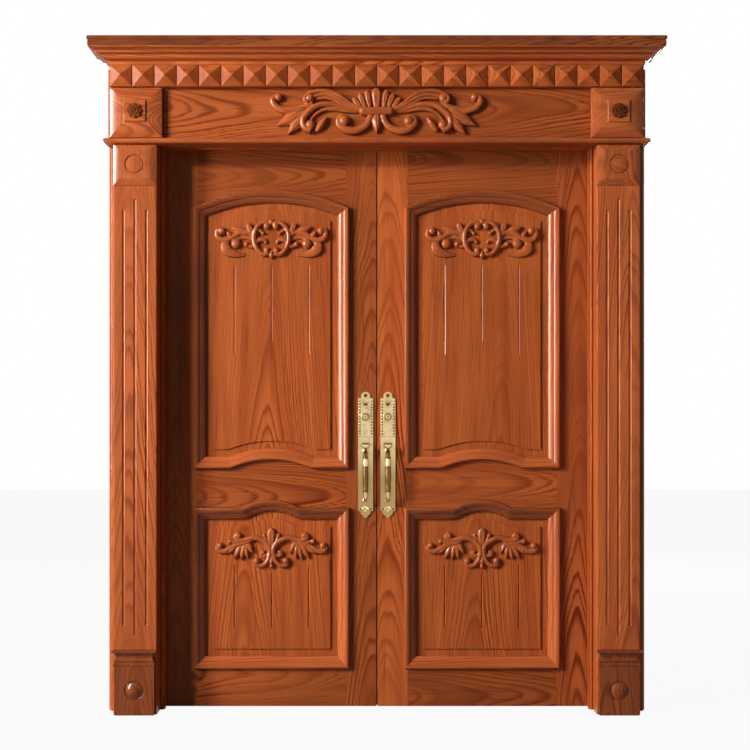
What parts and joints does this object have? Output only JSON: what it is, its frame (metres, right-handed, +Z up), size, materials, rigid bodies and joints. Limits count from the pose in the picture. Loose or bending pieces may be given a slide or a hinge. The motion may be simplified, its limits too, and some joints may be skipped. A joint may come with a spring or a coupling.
{
  "type": "carved wooden double door with frame",
  "caption": "Panelled and carved wooden entrance double door in a pilastered frame with cornice, bow handles and thumb latches; both leaves swing inward on butt hinges.",
  "frame": {"origin": "centre of the set's footprint, on the floor", "axes": "+Z up, +X to the right seen from outside, +Y into the building"},
  "size_m": [2.1, 0.29, 2.47],
  "materials": {
    "wood": "satin lacquer",
    "dark_wood": "satin lacquer",
    "brass": "antique, polished high spots",
    "steel": "brushed"
  },
  "bodies": {
    "frame": {"left_jamb": "wood", "right_jamb": "wood", "head_jamb": "wood", "left_casing": "wood", "right_casing": "wood", "head_casing": "wood", "left_pilaster": "wood", "right_pilaster": "wood", "left_plinth_block": "wood", "right_plinth_block": "wood", "left_capital_block": "wood", "right_capital_block": "wood", "architrave_bead": "wood", "frieze_board": "wood", "frieze_carving": "wood", "left_corner_block": "wood", "right_corner_block": "wood", "corner_rosettes": "dark_wood", "pyramid_band": "wood", "cornice": "wood", "back_casing": "wood", "frame_hinges": "brass"},
    "left_leaf": {"left_hinge_stile": "wood", "left_lock_stile": "wood", "left_top_rail": "wood", "left_lock_rail": "wood", "left_bottom_rail": "wood", "left_upper_panel": "wood", "left_lower_panel": "wood", "left_upper_moulding": "wood", "left_lower_moulding": "wood", "left_upper_carving": "wood", "left_lower_carving": "wood", "left_leaf_hinges": "brass", "left_handle_plate": "brass", "left_grip": "brass", "left_inside_plate": "brass", "strike_plate": "steel"},
    "right_leaf": {"right_hinge_stile": "wood", "right_lock_stile": "wood", "right_top_rail": "wood", "right_lock_rail": "wood", "right_bottom_rail": "wood", "right_upper_panel": "wood", "right_lower_panel": "wood", "right_upper_moulding": "wood", "right_lower_moulding": "wood", "right_upper_carving": "wood", "right_lower_carving": "wood", "right_leaf_hinges": "brass", "right_handle_plate": "brass", "right_grip": "brass", "right_inside_plate": "brass", "lock_case": "steel"},
    "left_thumb": {"left_thumb_lever": "brass"},
    "right_thumb": {"right_thumb_lever": "brass"},
    "inside_knob": {"inside_knob": "brass"},
    "key_cylinder": {"key_cylinder": "brass"},
    "latch_bolt": {"latch_bolt": "steel"},
    "dead_bolt": {"dead_bolt": "steel"}
  },
  "joints": [
    {"name": "left_leaf_swing", "type": "hinge", "parent": "frame", "child": "left_leaf", "pos_m": [-0.8035, 0.095, 1.05], "axis": [0, 0, 1], "range_deg": [0, 100]},
    {"name": "right_leaf_swing", "type": "hinge", "parent": "frame", "child": "right_leaf", "pos_m": [0.8035, 0.095, 1.05], "axis": [0, 0, -1], "range_deg": [0, 100]},
    {"name": "left_thumb_press", "type": "hinge", "parent": "left_leaf", "child": "left_thumb", "pos_m": [-0.042, 0.028, 0.99], "axis": [1, 0, 0], "range_deg": [-12, 0], "stiffness_Nm_per_rad": 0.5, "springref_deg": -12},
    {"name": "right_thumb_press", "type": "hinge", "parent": "right_leaf", "child": "right_thumb", "pos_m": [0.042, 0.028, 0.99], "axis": [1, 0, 0], "range_deg": [-12, 0], "stiffness_Nm_per_rad": 0.5, "springref_deg": -12},
    {"name": "latch_slide", "type": "slide", "parent": "right_leaf", "child": "latch_bolt", "axis": [-1, 0, 0], "range_m": [0, 0.0121]},
    {"name": "knob_turn", "type": "hinge", "parent": "right_leaf", "child": "inside_knob", "pos_m": [0.042, 0.087, 0.99], "axis": [0, 1, 0], "range_deg": [-46, 0]},
    {"name": "key_turn", "type": "hinge", "parent": "right_leaf", "child": "key_cylinder", "pos_m": [0.042, 0.063, 1.094], "axis": [0, 1, 0], "range_deg": [0, 90]},
    {"name": "dead_bolt_slide", "type": "slide", "parent": "right_leaf", "child": "dead_bolt", "axis": [-1, 0, 0], "range_m": [0, 0.0201]}
  ],
  "couplings": [
    {"joint": "latch_slide", "follows": "right_thumb_press", "m_per_rad": -0.057296},
    {"joint": "knob_turn", "follows": "right_thumb_press", "ratio": 3.75},
    {"joint": "dead_bolt_slide", "follows": "key_turn", "m_per_rad": 0.012732}
  ]
}
